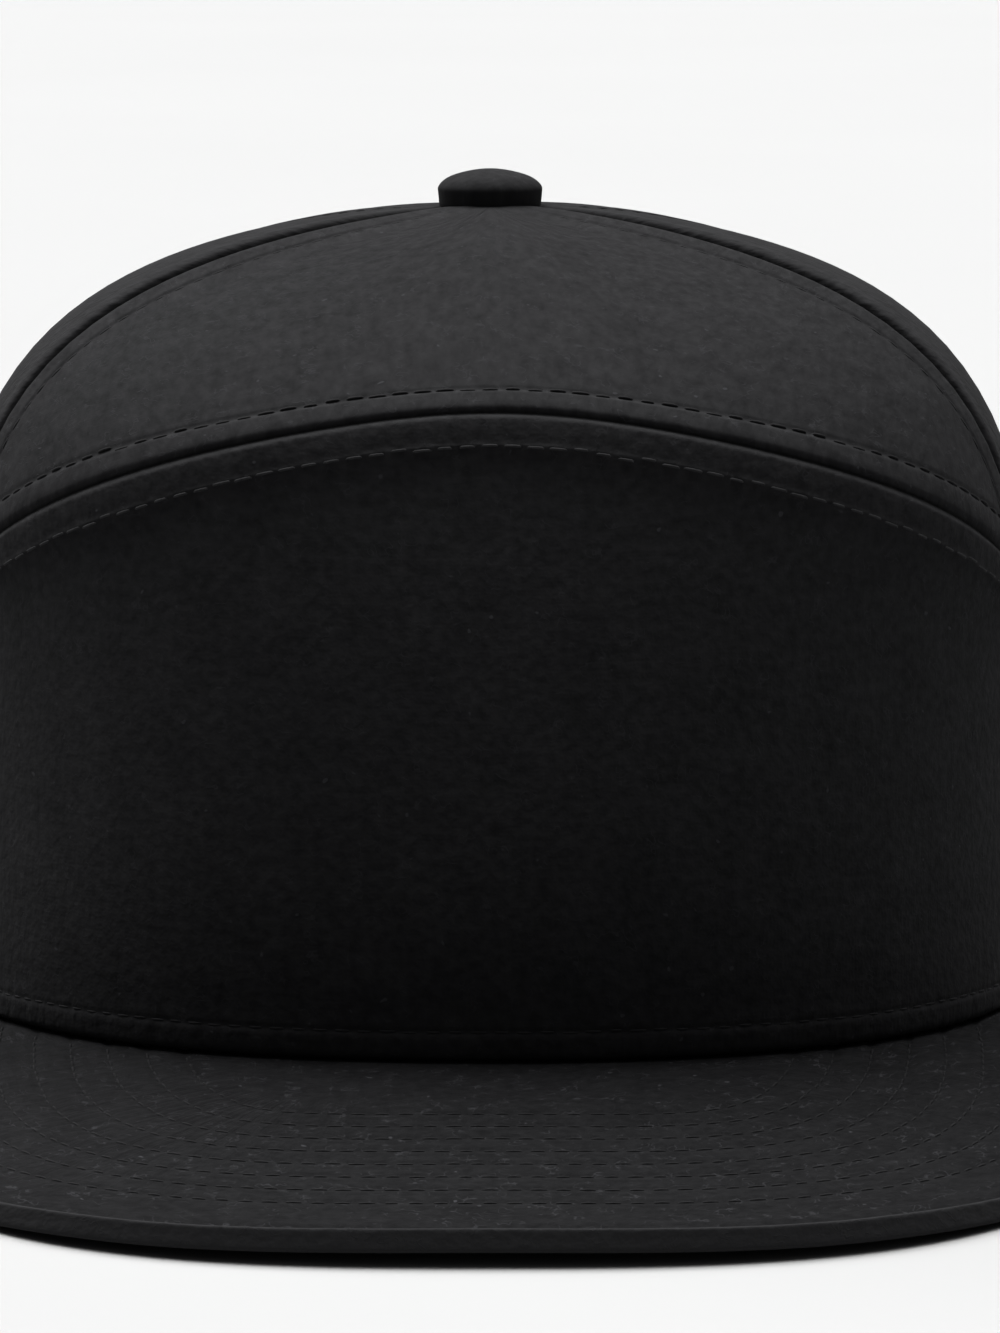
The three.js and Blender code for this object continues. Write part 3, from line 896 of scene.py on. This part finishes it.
no_seam = np.full(ring_radius.shape + (2,), FAR_FROM_SEAMS)
button = surface_object("covered_button", button_points, button_points[..., :2],
                        seam_uv=no_seam)
button.data.materials.append(panel_cotton)
button.modifiers.new("join_round", "WELD").merge_threshold = WELD_DISTANCE
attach(button, "root")
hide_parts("button")

# Brim: a flat plastic board covered in brushed cotton above and below, stitched through
# in rows that follow its outer edge, and sewn under the rim of the front panel. The
# cloth looks darker and fuzzier than the panels, and its edge is painted paler: painted
# light, where the edge face catches the floor's light.

BRIM_REACH = 70.0
BRIM_HALF_WIDTH = 93.0
BRIM_WIDEST = 45.0
BRIM_OUTLINE = 2.8
BRIM_THICKNESS = 3.2
BRIM_EDGE_HEIGHT = 5.1
BRIM_ARCH = 0.0005
BRIM_EAR_BEND = 0.002        # added towards the ears, which rest on the table
BRIM_EAR_FROM = 50.0
BRIM_TIP = math.radians(73.5)    # angle at which it ends, under the wall
BRIM_TIP_OUT = 0.8
BRIM_TUCK = 2.0                  # how far it reaches in under the wall
BRIM_DROP = 0.3                  # from the rim down to its upper face
BRIM_FRONT_SHARE = 14 / 18       # of the outline; the rest rounds the rear corners
BRIM_FRONT = CROWN_FRONT + BRIM_REACH
BRIM_ROWS = 11.0 + 5.3 * np.arange(8)
BRIM_ROW_DEPTH = 0.2             # grooves above, where the rows pull the cloth in
BRIM_ROW_DENT = 0.14             # and below
BRIM_ROW_END = 0.86              # of the turn, where the wall covers the rows


def brim_edge(turn):
    """Outline from -1 to 1: a superellipse in front, a quarter ellipse at each rear corner.

    Its height falls evenly to the front, less two squares of the distance from the
    middle, and is held under the rim by a soft minimum.
    """
    size = np.abs(turn)
    angle = np.clip(size / BRIM_FRONT_SHARE, 0, 1) * math.pi / 2
    x = BRIM_HALF_WIDTH * np.sin(angle) ** (2 / BRIM_OUTLINE)
    y = BRIM_WIDEST + (BRIM_FRONT - BRIM_WIDEST) * np.maximum(np.cos(angle), 0) ** (
        2 / BRIM_OUTLINE)
    reach = float(plan_radius(np.array(BRIM_TIP))) + BRIM_TIP_OUT
    tip_x, tip_y = reach * math.sin(BRIM_TIP), reach * math.cos(BRIM_TIP)
    round_angle = np.clip((size - BRIM_FRONT_SHARE) / (1 - BRIM_FRONT_SHARE), 0, 1) * math.pi / 2
    corner = size > BRIM_FRONT_SHARE
    x = np.where(corner, tip_x + (BRIM_HALF_WIDTH - tip_x) * np.cos(round_angle), x)
    y = np.where(corner, BRIM_WIDEST - (BRIM_WIDEST - tip_y) * np.sin(round_angle), y)
    flat = BRIM_EDGE_HEIGHT + (RIM_RISE - BRIM_EDGE_HEIGHT) * (BRIM_FRONT - y) / BRIM_REACH
    bent = flat - BRIM_ARCH * x * x - BRIM_EAR_BEND * np.maximum(x - BRIM_EAR_FROM, 0) ** 2
    joint = rim_height(np.arctan2(x, y)) - BRIM_DROP
    z = (bent + joint - np.sqrt((bent - joint) ** 2 + 1)) / 2
    return np.stack([np.sign(turn) * x, -y, z], -1)


def brim_top(turn, way):
    """Straight rulings from the joint under the wall, way 0, out to the edge, way 1."""
    phi = turn * BRIM_TIP
    joint = plan_radius(phi) - BRIM_TUCK
    start = np.stack([joint * np.sin(phi), -joint * np.cos(phi), rim_height(phi) - BRIM_DROP],
                     -1)
    return mix(start, brim_edge(turn), way[..., None])


flat_edge = brim_edge(np.linspace(-1, 1, 901)) * (1, 1, 0)


def at_rows(d, spread):
    """A bell at each stitched row."""
    return sum(bump(d, row, spread) for row in BRIM_ROWS)


def brim_relief(d):
    """Cloth on the board: a shallow groove at each stitched row and a soft lip at the edge."""
    return (-BRIM_ROW_DEPTH * at_rows(d, 0.7) - 0.12 * bump(d, 0.0, 0.8)
            + 0.08 * bump(d, 2.2, 1.1))


# powers under 1 bring the mesh's lines a little closer at the corners and the edge
turn = np.linspace(-1, 1, 311)
turn = np.sign(turn) * np.abs(turn) ** 0.92
turns, ways = np.meshgrid(turn, np.linspace(0, 1, 150) ** 0.97)
top = brim_top(turns, ways)
to_edge, along_edge = distance_to(top * (1, 1, 0), [flat_edge])
# The cloth is drawn over the edge: a crisp upper corner, a face that leans out a
# little towards its foot, and a round lower corner. Each pair is how far in from the
# outline and how far down a line of the edge lies.
EDGE_SECTION = np.array([
    (0.98, 0.02), (0.84, 0.10), (0.72, 0.26), (0.64, 0.48), (0.54, 0.85), (0.42, 1.25),
    (0.29, 1.65), (0.15, 2.05), (0.04, 2.40), (0.0, 2.62), (0.06, 2.84), (0.24, 3.03),
    (0.52, 3.15), (0.85, 3.20)])
EDGE_INSET = 1.1             # of the faces' own border, which fades over
EDGE_INSET_FADE = 6.0
rim = brim_edge(turn)
outward = unit(np.gradient(rim, axis=0)[:, [1, 0, 2]] * (1, -1, 0))
outward *= np.sign((outward * rim).sum(-1))[:, None]
inset = np.clip(1 - to_edge / EDGE_INSET_FADE, 0, 1)[..., None] * EDGE_INSET
top = top - outward[None] * inset
up = np.array([0, 0, 1.0])
upper = top + up * brim_relief(to_edge)[..., None]
lower = top + up * (BRIM_ROW_DENT * at_rows(to_edge, 0.5) - BRIM_THICKNESS)[..., None]
edge_rings = [rim - outward * inward - up * down for inward, down in EDGE_SECTION]
brim_points = np.concatenate([upper, np.stack(edge_rings), lower[::-1]])
run = np.linalg.norm(np.diff(brim_points, axis=0), axis=-1).cumsum(0)
run = np.concatenate([np.zeros_like(run[:1]), run])
brim_uv = np.stack([brim_points[..., 0], run], -1)
# the cloth gathers beside its rows, less than at a seam, and the whole edge is painted paler, as
# painted light
ROW_AS_SEAM = 1.5
PAINTED_EDGE_LIGHT_MARK = 40.0
row_gap = np.abs(to_edge[..., None] - BRIM_ROWS).min(-1)
row_uv = np.stack([along_edge, row_gap + ROW_AS_SEAM], -1)
brim_seam = np.concatenate([
    row_uv, np.full((len(edge_rings), len(turn), 2), PAINTED_EDGE_LIGHT_MARK), row_uv[::-1]])
brim = surface_object("stitched_brim", brim_points[:, ::-1], brim_uv[:, ::-1], closed=True,
                      seam_uv=brim_seam[:, ::-1])
# its edge tone is painted light, standing in for the light that the edge face catches
brim_cotton = brushed_cotton("black_cotton_over_board", "#050506", "#131314", edge="#232324",
                             nap_depth=0.38, fuzz=0.55)
brim.data.materials.append(brim_cotton)
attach(brim, "root")
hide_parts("brim")


def brim_row(distance):
    """The line on the brim at a distance inside its outline, up to where it meets the wall.

    Each point slides along its ruling by what its distance is out, twelve times.
    """
    turn = np.linspace(-BRIM_ROW_END, BRIM_ROW_END, 700)
    way = np.full_like(turn, 0.5)
    length = np.linalg.norm(brim_top(turn, np.ones_like(way)) - brim_top(turn, 0 * way), axis=-1)
    for _ in range(12):
        gap, _ = distance_to(brim_top(turn, way) * (1, 1, 0), [flat_edge])
        way = np.clip(way + (gap - distance) / length, 0.0, 1)
    points = brim_top(turn, way)
    phi = np.arctan2(points[:, 0], -points[:, 1])
    clear = np.hypot(points[:, 0], points[:, 1]) > plan_radius(phi) + BRIM_TIP_OUT
    gap, _ = distance_to(points * (1, 1, 0), [flat_edge])
    return points[clear & (np.abs(gap - distance) < 0.3)]


ROW_SUNK = 0.15              # how far the upper rows' threads lie below the brim's face
ROW_SUNK_BELOW = 0.02
upper_rows, lower_rows = [], []
for distance in BRIM_ROWS:
    line = brim_row(distance)
    upward = np.zeros_like(line) + up
    upper_rows.append((line - upward * ROW_SUNK, upward))
    lower_rows.append((line - upward * (BRIM_THICKNESS - ROW_SUNK_BELOW), -upward))
brim_thread = spun_thread("black_thread_in_brim", "#0e0e0f", "#1a1a1b")
thread_piece("brim_stitching_upper", upper_rows, brim_thread)
thread_piece("brim_stitching_lower", lower_rows, brim_thread)

# Sweatband: a plain band of smooth woven cotton inside the rim, folded double and a
# little full, from one corner of the back opening round to the other. It clears the
# strap's ends by standing off further there.

BAND_HEIGHT = 32.0
BAND_THICKNESS = 1.2
BAND_FULLNESS = 0.15
BAND_STAND_OFF = (2.9, 4.1)
BAND_STEP_FROM = math.radians(118)
BAND_STEP = math.radians(24)
BAND_END = math.radians(157)
BAND_LIFT = 1.0
BAND_AROUND = 90.0           # mm of cloth to a radian


def inner_band(phi, heights, depth):
    """A strip inside the wall: heights above the rim, at a depth behind the outer face."""
    z = rim_height(phi) + heights
    share = share_at_height(phi, z)
    points = crown_point(phi, share) - crown_normal(phi, share) * depth[..., None]
    points[..., 2] = z
    return points


phi = mix(-BAND_END, BAND_END, np.linspace(0, 1, 260))
ease = np.clip((np.abs(phi) - BAND_STEP_FROM) / BAND_STEP, 0, 1)
stand_off = mix(*BAND_STAND_OFF, ease ** 2 * (3 - 2 * ease))
rise = np.linspace(0, 1, 26)[:, None]
outer_depth = stand_off[None] + 0 * rise
outer = inner_band(phi[None], BAND_LIFT + BAND_HEIGHT * rise, outer_depth)
inner = inner_band(phi[None], BAND_LIFT + BAND_HEIGHT * rise[::-1],
                   outer_depth + BAND_THICKNESS + BAND_FULLNESS * np.sin(rise * math.pi))
band_points = np.concatenate([outer, inner])
run = np.linalg.norm(np.diff(band_points, axis=0), axis=-1).cumsum(0)
band_uv = np.stack([np.broadcast_to(phi * BAND_AROUND, band_points.shape[:2]),
                    np.concatenate([np.zeros_like(run[:1]), run])], -1)
no_seam = np.full(band_points.shape[:2] + (2,), FAR_FROM_SEAMS)
band = surface_object("folded_sweatband", band_points, band_uv, closed=True, seam_uv=no_seam)
band.data.materials.append(brushed_cotton("black_plain_cotton", "#101011", "#161617"))
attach(band, "root")
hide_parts("sweatband")

# Adjuster strap: two halves of moulded polythene that overlap behind, the outer one
# with round holes and the inner one with pegs that snap into them, each sewn in at a
# corner of the opening. Out of the photograph's view, they follow the usual pattern.

STRAP_WIDTH = 19.0
STRAP_LIFT = 1.0
STRAP_THICKNESS = 0.85
STRAP_RADIUS = 98.0
STRAP_HIDDEN = 55.0          # each half starts this far from the middle, behind the cloth
STRAP_NOSE = 2.0
OUTER_DEPTH = 2.3            # behind the outside of the crown
INNER_DEPTH = 3.2
HOLED_TIP = 22.0             # how far past the middle each half reaches
PEGGED_TIP = 11.5
SOFT_EDGE = 0.2
HOLE_RADIUS = 2.6
HOLE_CELL = 5.0              # half the pitch of the holes
HOLES = np.array([-25.0, -15.0, -5.0, 5.0, 15.0])
PEGS = np.array([-5.0, 5.0, 15.0, 25.0])
# radius and height of a peg, a short post with a wider, slightly domed head
PEG_OUTLINE = np.array([
    (0.0, -0.1), (1.9, -0.1), (1.9, 0.9), (2.2, 1.1), (2.3, 1.3), (2.22, 1.45), (1.9, 1.56),
    (1.0, 1.64), (0.0, 1.66)])
# Polythene, moulded: a satin face with a soft, broken gloss. Its grain is drawn at
# 1.1 mm, coarser than the mould's real 0.1 mm, so that it shows.
POLYTHENE_GRAINS_PER_METRE = 900.0
polythene, tree = blank_material("moulded_polythene")
place = add_node(tree, "ShaderNodeTexCoord").outputs["Object"]
grain = add_node(tree, "ShaderNodeTexNoise", inputs={
    "Vector": place, "Scale": POLYTHENE_GRAINS_PER_METRE, "Detail": 2.0})
tone = add_node(tree, "ShaderNodeMix", {"data_type": "RGBA"}, {
    "Factor": grain, "A": linear("#0d0d0e"), "B": linear("#121213")})
grain_bump = add_node(tree, "ShaderNodeBump", inputs={
    "Height": grain, "Strength": 0.3, "Distance": 0.03 * MM})
satin = add_node(tree, "ShaderNodeBsdfPrincipled", inputs={
    "Base Color": tone, "Roughness": 0.42, "IOR": 1.5, "Normal": grain_bump})
add_node(tree, "ShaderNodeOutputMaterial", inputs={"Surface": satin})


def on_strap(along, up, depth):
    """Points at a distance along from the middle of the back, up from the strap's foot."""
    phi = math.pi + along / STRAP_RADIUS
    return inner_band(phi, STRAP_LIFT + up, depth + 0 * along)


def strap_half(name, holes, tip, hand, depth):
    """Plain cells and holed cells end to end with a blunt tip, then thickness and soft edges."""
    up = np.linspace(0, STRAP_WIDTH, 17)
    side = np.linspace(-HOLE_CELL, HOLE_CELL, 7)
    outline = np.concatenate([
        np.stack([0 * up[:-1] + HOLE_CELL, up[:-1]], -1),
        np.stack([side[:0:-1], 0 * side[1:] + STRAP_WIDTH], -1),
        np.stack([0 * up[:-1] - HOLE_CELL, up[:0:-1]], -1),
        np.stack([side[:-1], 0 * side[1:]], -1)]) - (0, STRAP_WIDTH / 2)
    rings = mix(HOLE_RADIUS * unit(outline), outline,
                np.array([0, 0.1, 0.4, 1])[:, None, None]) + (0, STRAP_WIDTH / 2)
    rings = np.concatenate([rings, rings[:, :1]], 1)
    grids = [rings + (middle, 0) for middle in holes]
    plain_end = min(holes) - HOLE_CELL if len(holes) else tip - STRAP_NOSE
    plain = np.linspace(-STRAP_HIDDEN, plain_end, 25)
    grids.append(np.stack(np.meshgrid(plain, up, indexing="ij"), -1))
    blunt = (1 - np.abs(up / STRAP_WIDTH * 2 - 1) ** 6) ** (1 / 6)
    nose = tip - STRAP_NOSE + STRAP_NOSE * np.linspace(0, 1, 4)[:, None] * blunt
    grids.append(np.stack([nose, up + 0 * nose], -1))
    points, quads, offset = [], [], 0
    for grid in grids:
        rows, columns = grid.shape[:2]
        index = np.arange(rows * columns).reshape(rows, columns) + offset
        quads.append(np.stack([index[:-1, :-1], index[:-1, 1:], index[1:, 1:], index[1:, :-1]],
                              -1).reshape(-1, 4))
        points.append(grid.reshape(-1, 2))
        offset += rows * columns
    flat, quads = np.concatenate(points), np.concatenate(quads)
    if hand > 0:
        quads = quads[:, ::-1]
    mesh = bpy.data.meshes.new(name)
    world_points = (on_strap(hand * flat[:, 0], flat[:, 1], depth) + (0, SHIFT_Y, 0)) * MM
    mesh.from_pydata(world_points.tolist(), [], quads.tolist())
    mesh.materials.append(polythene)
    half = bpy.data.objects.new(name, mesh)
    scene.collection.objects.link(half)
    half.modifiers.new("join_cells", "WELD").merge_threshold = WELD_DISTANCE
    thicken(half, STRAP_THICKNESS)
    soft = half.modifiers.new("soft_edges", "BEVEL")
    soft.width = SOFT_EDGE * MM
    soft.segments = 2
    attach(half, "root")
    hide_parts("snap_strap")


strap_half("moulded_strap_with_holes", HOLES, HOLED_TIP, 1, OUTER_DEPTH)
strap_half("moulded_strap_with_pegs", [], PEGGED_TIP, -1, INNER_DEPTH)
peg_turn = np.linspace(0, 2 * math.pi, 33)
peg_radius, peg_height = PEG_OUTLINE.T[:, :, None]
for number, middle in enumerate(PEGS, 1):
    peg_points = on_strap(middle + peg_radius * np.cos(peg_turn),
                          STRAP_WIDTH / 2 + peg_radius * np.sin(peg_turn),
                          INNER_DEPTH - peg_height - 0 * peg_turn)
    peg = surface_object(f"snap_peg_{number}", peg_points, peg_points[..., :2])
    peg.data.materials.append(polythene)
    peg.modifiers.new("join_round", "WELD").merge_threshold = WELD_DISTANCE
    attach(peg, "root")
